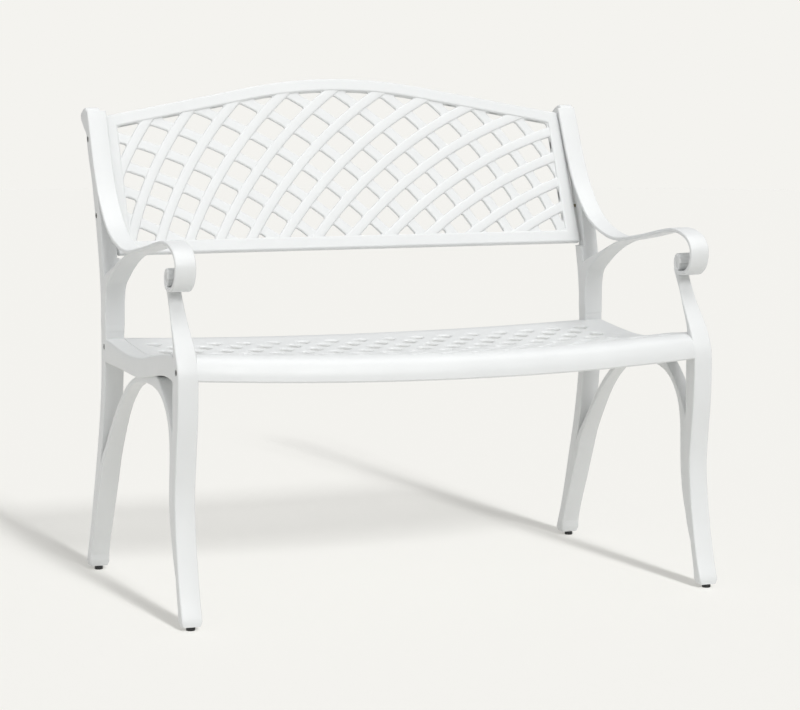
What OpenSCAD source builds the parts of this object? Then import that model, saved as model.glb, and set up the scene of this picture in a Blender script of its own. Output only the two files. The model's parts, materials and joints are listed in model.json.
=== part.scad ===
// Two-seat garden bench in cast aluminium: two scrolled side frames, a curved
// lattice back, a scooped lattice seat and four screw-in foot glides.
// Millimetres. The front faces -Y, the width runs along X, Z is up.
// Side-frame outlines are drawn as [y, z] points with y = 0 over the back glides.

/* [Side frames] */
// Outside width over the two side frames, at the floor
overall_w = 1035; // [1000:1:1100]
// Width of the cast members, across the bench
member_w = 37; // [34:0.5:40]
// Inward lean of each side frame, degrees
lean = 0.57; // [0:0.01:0.8]
// Thickness of the flat arm strap
strap_t = 7.5; // [6:0.5:9]
// Width of the leg brace strap
brace_w = 25; // [16:1:28]

/* [Back panel] */
// Lean of the back panel from the vertical, degrees
back_tilt = 22.2; // [21:0.1:22.5]
// Thickness of the rim around the back
rim_t = 15; // [13:0.5:17]
// Width of the rim, seen from the front
rim_w = 25; // [20:0.5:28]
// Height of the back opening at the middle
back_h = 300; // [280:1:320]
// Radius of the crown of the top rail
crown_r = 900; // [800:10:1200]
// Slope of the straight ends of the top rail, degrees
crown_slope = 11; // [9:0.5:12]

/* [Lattice] */
// Distance between neighbouring ribs of the back
rib_pitch = 53.4; // [48:0.1:60]
// Width of the rising ribs, which lie in front
front_rib_w = 20; // [14:0.5:24]
// Width of the falling ribs, which lie behind
rear_rib_w = 19.5; // [12:0.5:22]
// Rib thickness
rib_t = 7; // [5:0.5:8]

/* [Seat] */
// Distance that the front edge bows out at the middle
bow = 55; // [40:1:70]
// Sideways distance between seat lattice openings
seat_pitch = 58.2; // [50:0.1:70]
// Angle between the seat ribs and the front edge, degrees
seat_rib_angle = 51; // [45:1:60]
// Width of the seat ribs
seat_rib_w = 19; // [12:0.5:22]
// Thickness of the seat lattice
seat_t = 8; // [6:0.5:10]

/* [Fasteners and glides] */
// Thread diameter of the frame bolts
bolt_d = 6; // [5:0.5:8]
// Diameter of the glide pads
pad_d = 16; // [14:0.5:20]
// Height of the glide pads
pad_h = 6; // [5:0.5:6.5]

/* [Hidden] */
$fn = 96;
LEFT = -1;
RIGHT = 1;

// Heights and depths that the side frames are set out from
leg_base = 7;
back_glide_y = 0;
front_glide_y = -588;
lean_run = tan(lean);

// Smooth curve through a list of points: n points on each span
function span_point(a, b, c, d, t) =
    0.5 * (2 * b + (c - a) * t + (2 * a - 5 * b + 4 * c - d) * t * t
    + (3 * b - a - 3 * c + d) * t * t * t);
function before(p) = 2 * p[0] - p[1];
function after(p) = 2 * p[len(p) - 1] - p[len(p) - 2];
function at(p, i) = i < 0 ? before(p) : i >= len(p) ? after(p) : p[i];
function smooth(p, n = 5) = [
    for (i = [0 : len(p) - 2]) for (k = [0 : n - 1])
        span_point(at(p, i - 1), p[i], p[i + 1], at(p, i + 2), k / n),
    p[len(p) - 1]
];
function reversed(p) = [for (i = [len(p) - 1 : -1 : 0]) p[i]];

// The same curve moved sideways by d, to the left of its direction
function heading(p, i) = at(p, i + 1) - at(p, i - 1);
function beside(p, d) = [
    for (i = [0 : len(p) - 1])
        let (h = heading(p, i)) p[i] + d * [-h[1], h[0]] / norm(h)
];
function band(p, d0, d1) = concat(beside(p, d0), reversed(beside(p, d1)));

// Arm strap: its front and top face, from the cap down, along the arm and round the scroll
strap_face = smooth([[8, 876], [-1, 858], [-17, 822], [-37, 778], [-71, 721], [-124, 668],
    [-184, 641], [-252, 630.5], [-346, 641], [-430, 655], [-486, 661], [-530, 653],
    [-553, 637], [-560, 618], [-553, 594], [-535, 579], [-512, 575], [-496, 581]]);
cap_outline = smooth([[-4, 850], [4, 866], [20, 880.5], [36, 879], [49, 871], [55, 863],
    [51, 856], [43, 849], [29, 839], [14, 829], [2, 820], [-10, 818]]);
scroll_at = [-503.5, 596];
scroll_half = [13.5, 20];

// Back post: rear edge from the cap to the foot, then the front edge from the foot up
post_rear = smooth([[14, 850], [13, 829], [1, 793], [-27, 738], [-61, 637], [-80, 560],
    [-87, 500], [-88, 440], [-85, 357], [-66, 265], [-40, 180], [-14, 99], [1, 58], [12, 33],
    [20, 14]]);
post_foot = [[21, 10.5], [18, leg_base], [-6, leg_base], [-9, 10]];
post_front = smooth([[-9, 13], [-13, 48], [-25, 85], [-40, 118], [-59, 171], [-80, 225],
    [-94, 275], [-107, 340], [-113, 390], [-127, 411]]);
post_neck = smooth([[-127, 457], [-119, 466], [-117, 490], [-117, 520], [-110, 560], [-97, 610],
    [-83, 676], [-60, 730], [-25, 800], [0, 850]]);
bracket_under = smooth([[-104, 512], [-116, 535], [-128, 556], [-152, 572], [-192, 595],
    [-236, 613], [-290, 627]]);
bracket_over = smooth([[-290, 629], [-245, 619], [-195, 602], [-145, 585], [-112, 574],
    [-93, 560], [-84, 540]]);

// Seat scoop at its ends, rear to front, which the seat rails follow
scoop = smooth([[-95, 455], [-150, 452.5], [-215, 446], [-280, 441.5], [-345, 445], [-407, 454],
    [-468, 463], [-510, 467], [-536, 468.5]]);
rail_rear_y = -127;
rail_front_y = -533;
rail_under = smooth([[rail_rear_y, 411], [-215, 409], [-300, 406], [-344, 408], [-407, 417],
    [-455, 425], [-497, 427], [rail_front_y, 424]]);

// Front leg: front edge from the scroll to the foot, then the rear edge back up
leg_front = smooth([[-496, 580], [-502, 560], [-522, 527], [-537, 505], [-551, 485],
    [-564, 462], [-573, 438], [-574, 400], [-571, 346], [-562, 285], [-556, 228], [-560, 172],
    [-570, 115], [-584, 58], [-595, 26], [-602, 11]]);
leg_foot = [[-600, leg_base], [-577, leg_base], [-574, 10]];
leg_rear = smooth([[-574, 14], [-571, 34], [-562, 70], [-548, 135], [-538, 190], [-532, 236],
    [-533, 290], [-539, 340], [-540, 390], [-533, 424]]);
leg_neck = smooth([[-533, 466], [-539, 474], [-525, 496], [-509, 520], [-492, 548],
    [-483, 580]]);
neck_w = 24;
neck_top = 568;
neck_base = 474;
neck_end = 600;

// Leg brace: its underside from the back leg over the top to the front leg
brace_under = smooth([[-9, 25], [-21, 58], [-38, 95], [-57, 135], [-77, 178], [-102, 229],
    [-149, 291], [-188, 333], [-230, 366], [-262, 383], [-305, 396], [-350, 400.5], [-395, 400],
    [-430, 394], [-457, 383], [-480, 364], [-499, 334], [-509, 300], [-513, 265], [-517, 225],
    [-526, 172], [-538, 135], [-546, 110], [-560, 80]]);
brace_over = smooth([[-572, 80], [-553, 165], [-546, 250], [-538, 296], [-520, 331], [-487, 374],
    [-436, 416], [-400, 418], [-350, 414], [-300, 406], [-255, 391], [-222, 373], [-181, 341],
    [-141, 297], [-108, 256], [-80, 222], [-60, 178], [-44, 135], [-26, 95], [-10, 58], [0, 25]]);

// The brace is nearly as wide as the legs at its feet and narrows on the way up
brace_root_w = member_w - 0.6;
brace_wide_z = 215;
brace_narrow_z = 350;
brace_end_z = 440;

// Back panel: its own plane, x across and s up the slope from the bottom opening edge
panel_base = [-80, 634.2];
panel_gap = 2;
pocket = 8;
pocket_room = 3;
pocket_reach = 60;
member_inner_top = overall_w / 2 - member_w - 880 * lean_run;
rim_half = member_inner_top + pocket - panel_gap;
rim_end_w = 28;
open_half = rim_half - rim_end_w;
crown_centre_s = back_h - crown_r;
front_rib_depth = 1.5;
rear_rib_depth = 3.5;

// Back ribs: lanes count from left to right; lane 7 crosses the base line at rib_base_x
rib_base_x = -38.9;
rib_lean_mid = 47.25;
rib_lean_step = 3.836;
rib_radius_mid = 1019;
rib_radius_drop = 6.23;
lattice_offset = -3;
mid_lane = 7;
first_lane = -1.5;
last_lane = 12.5;
half_lane = 0.5;

// Seat
seat_gap = 0.5;
seat_half = overall_w / 2 - member_w - 470 * lean_run - seat_gap;
seat_rim_w = 22;
seat_rim_t = 14;
seat_rear_y = -95;
seat_rear_w = 24;
seat_rear_z = 454.5;
front_end_y = -575;
crest_z = 468.5;
apron_band = 30;
bow_r = (seat_half * seat_half + bow * bow) / (2 * bow);
bow_centre_y = front_end_y - bow + bow_r;
apron_face = smooth([[-545, 468.5], [-557, 464.5], [-567, 455.5], [-573, 441], [-575, 425]], 4);
apron_inside = smooth([[-569, 425], [-567, 440], [-561.5, 451.5], [-554, 458.5], [-545, 461.5]], 4);

// Bolts: [y, z] of each on the side frames, and how they sit. The back bolts follow the
// slope of the panel, so that they stay inside the thickness of its rim
back_bolt_up = [205, 52.8];
back_bolt_behind = 5.45;
back_bolts_at = [for (s = back_bolt_up) on_slope(s, back_bolt_behind)];
seat_bolts_at = [[-108, 440], [-561, 441]];
head_d = 10.6;
head_h = 8.6;
hex_d = 8.4;
hex_depth = 4;
recess_d = 11.5;
recess_depth = 9.2;
bolt_len = 46;
shank_hole_d = bolt_d + 0.6;
lug_d = 18;
lug_len = 24;
lug_hole_d = bolt_d + 0.1;
lug_hole_len = 18;
lug_hole_start = 10;

// Glides
insert_d = 11;
insert_len = 14;
stud_d = 6;
stud_len = 17;
stud_fit = 0.05;
glide_x = overall_w / 2 - member_w / 2;

// Depth of the whole bench, so that its middle sits at y = 0
rear_most_y = panel_base[0] + sin(back_tilt) * (back_h + rim_w) + cos(back_tilt) * rim_t;
front_most_y = front_end_y - bow;
mid_y = (rear_most_y + front_most_y) / 2;

enamel = "whitesmoke";
enamel_shade = "gainsboro";

// Moves the model so that its footprint is centred on the origin
module centred() {
    translate([0, -mid_y, 0]) children();
}

// Stands [y, z] drawings up in a side frame: x = 0 is the frame's outer face
module in_frame(side) {
    centred() mirror([side == LEFT ? 1 : 0, 0, 0])
        translate([overall_w / 2, 0, 0]) rotate([0, -lean, 0]) children();
}

// Extrudes a [y, z] drawing across the bench, from x = -w to x = 0
module across(w) {
    translate([-w, 0, 0]) rotate([90, 0, 90]) linear_extrude(w) children();
}

// Bolt holes through a side member: head recess outside, clearance hole inside
module bolt_holes(places) {
    for (p = places) translate([0, p[0], p[1]]) rotate([0, -90, 0]) {
        translate([0, 0, -1]) cylinder(d = recess_d, h = recess_depth + 1);
        cylinder(d = shank_hole_d, h = member_w + 1);
    }
}

// Point of a side frame s up the slope of the back panel and d behind its front face
function on_slope(s, d) = panel_base + s * [sin(back_tilt), cos(back_tilt)]
    + d * [cos(back_tilt), -sin(back_tilt)];

// Pocket in the inner side of a post and its cap, which the end of the back panel sits in
module panel_pocket() {
    low = -rim_w - pocket_room;
    translate([-member_w + pocket, 0, 0]) across(pocket + 1)
        polygon([on_slope(low, -pocket_reach), on_slope(low, pocket_reach),
            on_slope(back_h, pocket_reach), on_slope(back_h, -pocket_reach)]);
}

module strap_outline() {
    ribbon_outline();
    polygon(cap_outline);
}

module ribbon_outline() {
    polygon(band(strap_face, 0, strap_t));
    polygon([for (a = [0 : 10 : 350]) scroll_at + [scroll_half[0] * cos(a), scroll_half[1] * sin(a)]]);
}

module post_outline() {
    difference() {
        union() {
            polygon(concat(post_rear, post_foot, post_front, post_neck));
            polygon(concat(bracket_under, bracket_over));
        }
        strap_outline();
    }
}

module leg_outline() {
    difference() {
        polygon(concat(leg_front, leg_foot, leg_rear, leg_neck));
        strap_outline();
    }
}

// Bore from below for a glide insert; the insert stands upright in the leaning leg
module glide_bore(side, y) {
    centred() translate([side * glide_x, y, leg_base - 2]) cylinder(d = insert_d, h = insert_len + 2);
}

module back_post(side) {
    color(enamel) difference() {
        in_frame(side) difference() {
            across(member_w) post_outline();
            bolt_holes([back_bolts_at[0], back_bolts_at[1], seat_bolts_at[0]]);
            panel_pocket();
        }
        glide_bore(side, back_glide_y);
    }
}

module arm_strap(side) {
    color(enamel) in_frame(side) {
        across(member_w) ribbon_outline();
        difference() {
            across(member_w) polygon(cap_outline);
            panel_pocket();
            bolt_holes([back_bolts_at[0]]);
        }
    }
}

// Cuts a member down from one width to another between two heights, one wedge on each side
module side_wedges(wide, narrow, z_wide, z_narrow, z_end) {
    step = (wide - narrow) / 2;
    outside = 30;
    for (s = [0, 1]) translate([-s * wide, 0, 0]) mirror([s, 0, 0])
        rotate([90, 0, 0]) linear_extrude(1600, center = true)
            polygon([[0.01, z_wide], [-step, z_narrow], [-step, z_end], [outside, z_end],
                [outside, z_wide]]);
}

module front_leg(side) {
    color(enamel) difference() {
        in_frame(side) difference() {
            across(member_w) leg_outline();
            bolt_holes([seat_bolts_at[1]]);
            side_wedges(member_w, neck_w, neck_base, neck_top, neck_end);
        }
        glide_bore(side, front_glide_y);
    }
}

function between(p, y0, y1) = [for (q = p) if (q[0] > y1 && q[0] < y0) q];

module seat_rail(side) {
    top = concat([[rail_rear_y, 455]], between(scoop, rail_rear_y, rail_front_y),
        [[rail_front_y, 467.5]]);
    color(enamel_shade) in_frame(side) across(member_w)
        polygon(concat(top, reversed(rail_under)));
}

module leg_brace(side) {
    inset = (member_w - brace_root_w) / 2;
    color(enamel_shade) in_frame(side) translate([-inset, 0, 0]) difference() {
        across(brace_root_w) difference() {
            polygon(concat(brace_under, brace_over));
            post_outline();
            leg_outline();
            polygon(concat([[rail_rear_y, 500], [rail_front_y, 500]], reversed(rail_under)));
        }
        side_wedges(brace_root_w, brace_w, brace_wide_z, brace_narrow_z, brace_end_z);
    }
}

// Places a drawing of the back panel on its sloping front face; z points out of the face
module on_panel() {
    centred() translate([0, panel_base[0], panel_base[1]]) rotate([90 - back_tilt, 0, 0]) children();
}

// Top edge of the back: a crowned middle with straight sloping ends, left to right
function crown(r, half) = concat(
    [[-half, crown_centre_s + r * cos(crown_slope) - (half - r * sin(crown_slope)) * tan(crown_slope)]],
    [for (a = [-crown_slope : crown_slope / 6 : crown_slope])
        [r * sin(a), crown_centre_s + r * cos(a)]],
    [[half, crown_centre_s + r * cos(crown_slope) - (half - r * sin(crown_slope)) * tan(crown_slope)]]);

// Outline of the back opening, or with the rim widths added, of the whole back
module panel_outline(grow, grow_ends) {
    half = open_half + grow_ends;
    polygon(concat(crown(crown_r + grow, half), [[half, -grow], [-half, -grow]]));
}

// Bores for the two back bolts in the edge of the rim, and for the seat bolts in the seat lugs
module tapped_holes(side, places) {
    in_frame(side) for (p = places) translate([-member_w + lug_hole_start, p[0], p[1]])
        rotate([0, -90, 0]) cylinder(d = lug_hole_d, h = lug_hole_len + lug_hole_start);
}

module back_rim() {
    color(enamel) difference() {
        on_panel() translate([0, 0, -rim_t]) linear_extrude(rim_t) difference() {
            panel_outline(rim_w, rim_end_w);
            panel_outline(0, 0);
        }
        for (side = [LEFT, RIGHT]) tapped_holes(side, back_bolts_at);
    }
}

// Where the middle of a rib crosses the base line, how steep it is there, and its radius
function rib_lean(lane) = rib_lean_mid - rib_lean_step * (lane - mid_lane);
function rib_step(lane) = half_lane * rib_pitch / sin(rib_lean(lane));
function rib_x(lane) = lane == mid_lane ? rib_base_x :
    lane > mid_lane ? rib_x(lane - half_lane) + rib_step(lane - half_lane / 2) :
    rib_x(lane + half_lane) - rib_step(lane + half_lane / 2);
function rib_radius(lane) = rib_radius_mid - rib_radius_drop * pow(lane - mid_lane, 2);

// One family of curved ribs, each a ring that crosses the opening once
module ribs(width) {
    for (lane = [first_lane : last_lane]) let (r = rib_radius(lane))
        translate([rib_x(lane) + r * sin(rib_lean(lane)), -r * cos(rib_lean(lane))]) difference() {
            circle(r + width / 2);
            circle(r - width / 2);
        }
}

module rib_layer(depth, width, flipped) {
    translate([0, 0, -depth - rib_t]) linear_extrude(rib_t) intersection() {
        panel_outline(0, 0);
        translate([lattice_offset, 0]) mirror([flipped ? 1 : 0, 0]) ribs(width);
    }
}

module back_lattice() {
    color(enamel) on_panel() {
        rib_layer(front_rib_depth, front_rib_w, false);
        rib_layer(rear_rib_depth, rear_rib_w, true);
    }
}

// Places seat parts: x across, y and z as on the side frames
module seat_bar(x0, x1, top, bottom) {
    centred() translate([x1, 0, 0]) across(x1 - x0) polygon(concat(top, reversed(bottom)));
}

function lowered(p, d) = [for (q = p) [q[0], q[1] - d]];
// The scoop carried forward level with its crest, under the bowed front
seat_line = concat(scoop, [[-620, crest_z]]);

// Lug with a tapped end that a seat bolt screws into
module seat_lug(side, place) {
    in_frame(side) translate([-member_w - seat_gap - 0.2, place[0], place[1]])
        rotate([0, -90, 0]) cylinder(d = lug_d, h = lug_len);
}

// Everything behind the apron's bowed inner edge
module inside_bow(r) {
    centred() translate([0, bow_centre_y, 300]) cylinder(r = r, h = 300, $fn = 360);
}

module seat_rim() {
    color(enamel) difference() {
        union() {
            intersection() {
                union() {
                    for (x = [-seat_half, seat_half - seat_rim_w])
                        seat_bar(x, x + seat_rim_w, seat_line, lowered(seat_line, seat_rim_t));
                }
                inside_bow(bow_r - apron_band);
            }
            centred() translate([-seat_half, seat_rear_y - seat_rear_w, seat_rear_z - seat_rim_t])
                cube([2 * seat_half, seat_rear_w, seat_rim_t]);
            for (side = [LEFT, RIGHT]) seat_lug(side, seat_bolts_at[0]);
        }
        for (side = [LEFT, RIGHT]) tapped_holes(side, [seat_bolts_at[0]]);
    }
}

// Plan of the seat ribs between the rims
module seat_ribs_plan() {
    count = ceil(seat_half / seat_pitch) + 6;
    for (i = [-count : count], turn = [-1, 1])
        translate([i * seat_pitch, -360]) rotate(turn * (90 - seat_rib_angle))
            square([seat_rib_w, 900], center = true);
}

module seat_lattice() {
    inner = seat_half - seat_rim_w;
    rear = seat_rear_y - seat_rear_w;
    color(enamel) intersection() {
        seat_bar(-inner, inner, seat_line, lowered(seat_line, seat_t));
        centred() translate([0, 0, 400]) linear_extrude(100) intersection() {
            translate([-inner, rear - 600]) square([2 * inner, 600]);
            translate([0, bow_centre_y]) circle(bow_r - apron_band, $fn = 360);
            seat_ribs_plan();
        }
    }
}

module seat_apron() {
    half_angle = asin(seat_half / bow_r) + 1;
    profile = [for (q = concat(apron_face, apron_inside)) [bow_r - (q[0] - front_end_y), q[1]]];
    color(enamel) difference() {
        union() {
            intersection() {
                centred() translate([0, bow_centre_y, 0]) rotate([0, 0, -90 - half_angle])
                    rotate_extrude(angle = 2 * half_angle, $fn = 360) polygon(profile);
                centred() translate([-seat_half, -800, 400]) cube([2 * seat_half, 800, 100]);
            }
            for (side = [LEFT, RIGHT]) seat_lug(side, seat_bolts_at[1]);
        }
        for (side = [LEFT, RIGHT]) tapped_holes(side, [seat_bolts_at[1]]);
    }
}

module bolts(places) {
    for (side = [LEFT, RIGHT], p = places) color("darkkhaki") in_frame(side)
        translate([-recess_depth + head_h, p[0], p[1]]) rotate([0, -90, 0]) difference() {
            union() {
                cylinder(d = head_d, h = head_h);
                cylinder(d = bolt_d, h = bolt_len);
            }
            translate([0, 0, -1]) cylinder(d = hex_d, h = hex_depth + 1, $fn = 6);
        }
}

module glide_inserts() {
    for (side = [LEFT, RIGHT], y = [back_glide_y, front_glide_y])
        color("silver") centred() translate([side * glide_x, y, leg_base]) difference() {
            cylinder(d = insert_d, h = insert_len);
            translate([0, 0, -1]) cylinder(d = stud_d + 2 * stud_fit, h = insert_len + 2);
        }
}

module glide_pad(side, y) {
    edge = 1.2;
    color("black") centred() translate([side * glide_x, y, 0]) rotate_extrude()
        polygon([[0, 0], [pad_d / 2 - edge, 0], [pad_d / 2, edge], [pad_d / 2, pad_h - edge],
            [pad_d / 2 - edge, pad_h], [stud_d / 2, pad_h], [stud_d / 2, pad_h / 2], [0, pad_h / 2]]);
}

module glide_stud(side, y) {
    color("silver") centred() translate([side * glide_x, y, pad_h / 2])
        cylinder(d = stud_d, h = stud_len);
}

back_post(LEFT);  // back_post_left
back_post(RIGHT);  // back_post_right
arm_strap(LEFT);  // arm_strap_left
arm_strap(RIGHT);  // arm_strap_right
front_leg(LEFT);  // front_leg_left
front_leg(RIGHT);  // front_leg_right
seat_rail(LEFT);  // seat_rail_left
seat_rail(RIGHT);  // seat_rail_right
leg_brace(LEFT);  // leg_brace_left
leg_brace(RIGHT);  // leg_brace_right
back_rim();
back_lattice();
seat_rim();
seat_lattice();
seat_apron();
bolts(back_bolts_at);  // back_bolts
bolts(seat_bolts_at);  // seat_bolts
glide_inserts();
glide_pad(LEFT, front_glide_y);  // glide_pad_front_left
glide_pad(RIGHT, front_glide_y);  // glide_pad_front_right
glide_pad(LEFT, back_glide_y);  // glide_pad_back_left
glide_pad(RIGHT, back_glide_y);  // glide_pad_back_right
glide_stud(LEFT, front_glide_y);  // glide_stud_front_left
glide_stud(RIGHT, front_glide_y);  // glide_stud_front_right
glide_stud(LEFT, back_glide_y);  // glide_stud_back_left
glide_stud(RIGHT, back_glide_y);  // glide_stud_back_right
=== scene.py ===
"""The garden bench: cast side frames, lattice back and seat, bolts and glides, in a pale studio."""
import json
import math
import bmesh
import bpy
import numpy as np
from mathutils import Matrix, Vector

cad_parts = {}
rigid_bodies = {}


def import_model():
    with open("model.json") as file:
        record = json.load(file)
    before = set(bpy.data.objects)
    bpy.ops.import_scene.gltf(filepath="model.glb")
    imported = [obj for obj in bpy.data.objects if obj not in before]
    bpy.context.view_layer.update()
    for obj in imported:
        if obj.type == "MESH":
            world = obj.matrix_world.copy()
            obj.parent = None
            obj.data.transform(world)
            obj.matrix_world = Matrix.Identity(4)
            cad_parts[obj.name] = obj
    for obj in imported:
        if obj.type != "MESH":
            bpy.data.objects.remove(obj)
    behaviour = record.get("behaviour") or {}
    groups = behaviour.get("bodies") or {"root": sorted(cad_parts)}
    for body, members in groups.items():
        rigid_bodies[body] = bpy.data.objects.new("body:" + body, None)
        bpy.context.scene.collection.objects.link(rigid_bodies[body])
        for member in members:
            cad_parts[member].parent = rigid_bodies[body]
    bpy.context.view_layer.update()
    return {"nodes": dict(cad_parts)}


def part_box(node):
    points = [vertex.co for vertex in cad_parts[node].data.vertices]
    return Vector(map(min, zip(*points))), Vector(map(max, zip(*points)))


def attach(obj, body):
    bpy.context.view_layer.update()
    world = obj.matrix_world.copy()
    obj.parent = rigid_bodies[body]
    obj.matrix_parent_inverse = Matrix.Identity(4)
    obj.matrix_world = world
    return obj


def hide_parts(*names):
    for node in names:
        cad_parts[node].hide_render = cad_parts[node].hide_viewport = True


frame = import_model()

MM = 0.001
CORNER = 38  # degrees: a sharper turn than this keeps a hard edge
LEFT, RIGHT = -1, 1
SIDE_NAMES = {LEFT: "left", RIGHT: "right"}


# ---------------------------------------------------------------- sizes taken from the frame

def node_low(node):
    """Low corner of a CAD node's box."""
    return np.array(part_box(node)[0])


def node_high(node):
    """High corner of a CAD node's box."""
    return np.array(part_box(node)[1])


WIDTH = node_high("back_post_right")[0] - node_low("back_post_left")[0]
# Outlines are drawn in [y, z] millimetres with y = 0 over the back glides
GLIDE_BACK = (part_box("glide_pad_back_left")[0][1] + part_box("glide_pad_back_left")[1][1]) / 2
MEMBER_W = 37 * MM
LEAN = math.radians(0.57)  # each side frame leans in a little towards its top
STRAP_T = 7.5
OUTER_X = WIDTH / 2


# ---------------------------------------------------------------- curves

def smooth(points, steps=6):
    """A curve through the points: Catmull-Rom, with steps pieces on each span."""
    p = np.array(points, float)
    p = np.vstack([2 * p[0] - p[1], p, 2 * p[-1] - p[-2]])
    out = []
    for a, b, c, d in zip(p[:-3], p[1:-2], p[2:-1], p[3:]):
        for k in range(steps):
            t = k / steps
            out.append(0.5 * (2 * b + (c - a) * t + (2 * a - 5 * b + 4 * c - d) * t * t
                              + (3 * b - a - 3 * c + d) * t ** 3))
    out.append(p[-2])
    return np.array(out)


def run_along(line):
    """Distance of each point from the line's start, along it."""
    return np.concatenate([[0], np.cumsum(np.linalg.norm(np.diff(line, axis=0), axis=1))])


def beside(line, d):
    """The line moved sideways by d, to the left of its direction."""
    ahead = np.gradient(line, axis=0)
    ahead /= np.linalg.norm(ahead, axis=1)[:, None]
    return line + d * np.stack([-ahead[:, 1], ahead[:, 0]], axis=1)


def even(line, count):
    """The same curve with its points spaced evenly along it."""
    run = run_along(line)
    at = np.linspace(0, run[-1], count)
    return np.stack([np.interp(at, run, line[:, k]) for k in range(line.shape[1])], axis=1)


def level_pairs(front, rear, levels):
    """Points of two upright curves at the same heights."""
    f = front[np.argsort(front[:, 1])]
    r = rear[np.argsort(rear[:, 1])]
    return (np.stack([np.interp(levels, f[:, 1], f[:, 0]), levels], axis=1),
            np.stack([np.interp(levels, r[:, 1], r[:, 0]), levels], axis=1))


# ---------------------------------------------------------------- mesh building

def mesh_object(name, verts, faces):
    mesh = bpy.data.meshes.new(name)
    mesh.from_pydata([tuple(v) for v in verts], [], [tuple(f) for f in faces])
    mesh.validate()
    obj = bpy.data.objects.new(name, mesh)
    bpy.context.scene.collection.objects.link(obj)
    return obj


def new_piece(name, verts, faces, material, body="bench", sharp=CORNER):
    """A mesh object that rides on a body."""
    obj = mesh_object(name, verts, faces)
    finish_mesh(obj, sharp)
    obj.data.materials.append(material)
    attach(obj, body)
    return obj


def finish_mesh(obj, sharp=CORNER):
    """Outward normals and smooth shading, with a hard edge only at real corners."""
    bm = bmesh.new()
    bm.from_mesh(obj.data)
    bmesh.ops.remove_doubles(bm, verts=bm.verts, dist=1e-6)
    bmesh.ops.recalc_face_normals(bm, faces=bm.faces)
    bm.to_mesh(obj.data)
    bm.free()
    obj.data.shade_smooth()
    obj.data.set_sharp_from_angle(angle=math.radians(sharp))


def circle(steps):
    """Unit directions evenly around a circle."""
    turns = [2 * math.pi * k / steps for k in range(steps)]
    return [(math.cos(a), math.sin(a)) for a in turns]


def tube(rings, size, closed=True):
    """Faces that join so many rings of so many points, with a face over each end if closed."""
    faces = []
    for i in range(rings - 1):
        a, b = i * size, (i + 1) * size
        for k in range(size):
            m = (k + 1) % size
            faces.append((a + k, a + m, b + m, b + k))
    if closed:
        faces.append(tuple(range(size)))
        faces.append(tuple(range((rings - 1) * size, rings * size)))
    return faces


def rounded_section(width, depth, radius, steps=4):
    """Corner-rounded rectangle, as (across, through) offsets from its middle."""
    radius = max(min(radius, width / 2.02, depth / 2.02), 1e-5)
    ring = []
    for sx, sy, start in ((1, 1, 0), (-1, 1, 90), (-1, -1, 180), (1, -1, 270)):
        for k in range(steps + 1):
            a = math.radians(start + 90 * k / steps)
            ring.append((sx * (width / 2 - radius) + radius * math.cos(a),
                         sy * (depth / 2 - radius) + radius * math.sin(a)))
    return ring


END_TURNS = [math.radians(90 * k / 4) for k in range(1, 5)]


def loft(centres, across, through, widths, depths, radius, round_ends=(0, 0), foot=None):
    """Verts and faces of a bar: a rounded rectangle at each centre, with rounded ends.

    foot is the (height, inset) of a chamfer on the last end."""
    n = len(centres)
    along = np.gradient(np.array(centres, float), axis=0)
    along /= np.linalg.norm(along, axis=1)[:, None]
    stations = [(centres[i], across[i], through[i], widths[i], depths[i], radius)
                for i in range(n)]
    for end, i, sign in ((0, 0, -1), (1, n - 1, 1)):
        r = round_ends[end]
        if r <= 0:
            continue
        extra = []
        for a in END_TURNS:
            inset = r * (1 - math.cos(a))
            extra.append((centres[i] + sign * along[i] * r * math.sin(a), across[i], through[i],
                          max(widths[i] - 2 * inset, 1e-4), max(depths[i] - 2 * inset, 1e-4),
                          max(radius - inset, radius * 0.3)))
        stations = extra[::-1] + stations if end == 0 else stations + extra
    if foot:
        stations.append((centres[-1] + along[-1] * foot[0], across[-1], through[-1],
                         widths[-1] - 2 * foot[1], depths[-1] - 2 * foot[1], radius))
    verts = [centre + u * ax + v * th for centre, ax, th, w, d, r in stations
             for u, v in rounded_section(w, d, r)]
    return verts, tube(len(stations), len(verts) // len(stations))


def joined(*parts):
    """Several (verts, faces) lists as one."""
    verts, faces = [], []
    for v, f in parts:
        base = len(verts)
        verts.extend(v)
        faces.extend(tuple(base + i for i in face) for face in f)
    return verts, faces


def in_frame(point, side):
    """A side-frame point (inwards from the outer face, y, z), in metres, put in the row frame."""
    x, y, z = point
    x, z = x * math.cos(LEAN) - z * math.sin(LEAN), x * math.sin(LEAN) + z * math.cos(LEAN)
    return Vector((side * (OUTER_X + x), y + GLIDE_BACK, z))


def placed(part, side):
    """A side-frame part, put in the row frame."""
    verts, faces = part
    return [in_frame(v, side) for v in verts], faces


def bar(front, rear, outer=0.0, width=MEMBER_W, radius=3.5, round_ends=(0, 0), foot=None):
    """A cast member between two outlines: front[i] and rear[i] face each other.

    outer is how far its outside face is set in from the frame's."""
    front, rear = np.array(front) * MM, np.array(rear) * MM
    n = len(front)
    outer = np.broadcast_to(np.array(outer, float), (n,))
    width = np.broadcast_to(np.array(width, float), (n,))
    centres, across, through, depths = [], [], [], []
    for i in range(n):
        mid = (front[i] + rear[i]) / 2
        gap = rear[i] - front[i]
        depth = np.linalg.norm(gap)
        centres.append(np.array([-outer[i] - width[i] / 2, mid[0], mid[1]]))
        across.append(np.array([1.0, 0, 0]))
        through.append(np.array([0, gap[0] / depth, gap[1] / depth]))
        depths.append(depth)
    return loft(centres, across, through, width, depths, radius * MM,
                [r * MM for r in round_ends], foot and (foot[0] * MM, foot[1] * MM))


# ---------------------------------------------------------------- materials

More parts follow.
